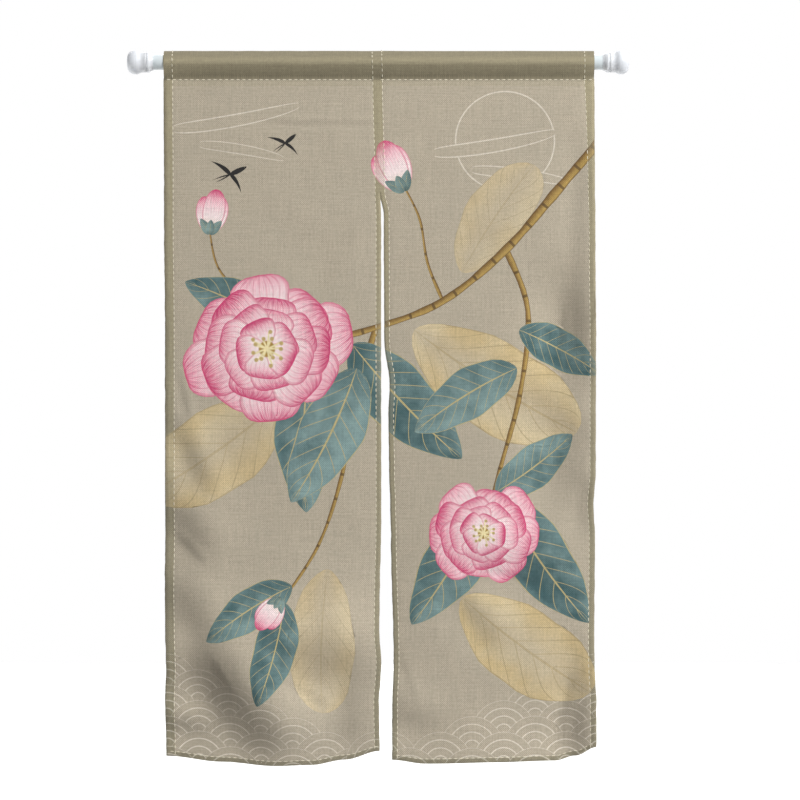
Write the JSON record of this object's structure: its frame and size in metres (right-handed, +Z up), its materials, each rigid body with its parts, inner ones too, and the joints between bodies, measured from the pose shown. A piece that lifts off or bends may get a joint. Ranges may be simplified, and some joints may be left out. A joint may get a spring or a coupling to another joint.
{
  "type": "door curtain on a spring tension rod",
  "caption": "Flat printed doorway curtain, sewn at the heading and slit down the middle, hung by its rod pocket on a spring tension rod with flared feet.",
  "frame": {"origin": "centre of the left foot's flat face, on the rod's axis, where the door jamb meets it", "axes": "+X along the rod towards the right foot, +Z up, -Y towards the viewer of the printed face"},
  "size_m": [1.049, 0.0871, 1.4985],
  "materials": {
    "cloth": "plain linen-look weave, printed on the front",
    "tube": "smooth white enamel",
    "feet": "satin white soft rubber",
    "collars": "white gloss"
  },
  "bodies": {
    "root": {"left_panel": "cloth", "right_panel": "cloth", "rod_tube": "tube", "left_foot": "feet", "right_foot": "feet", "left_collar": "collars", "right_collar": "collars"}
  },
  "joints": []
}
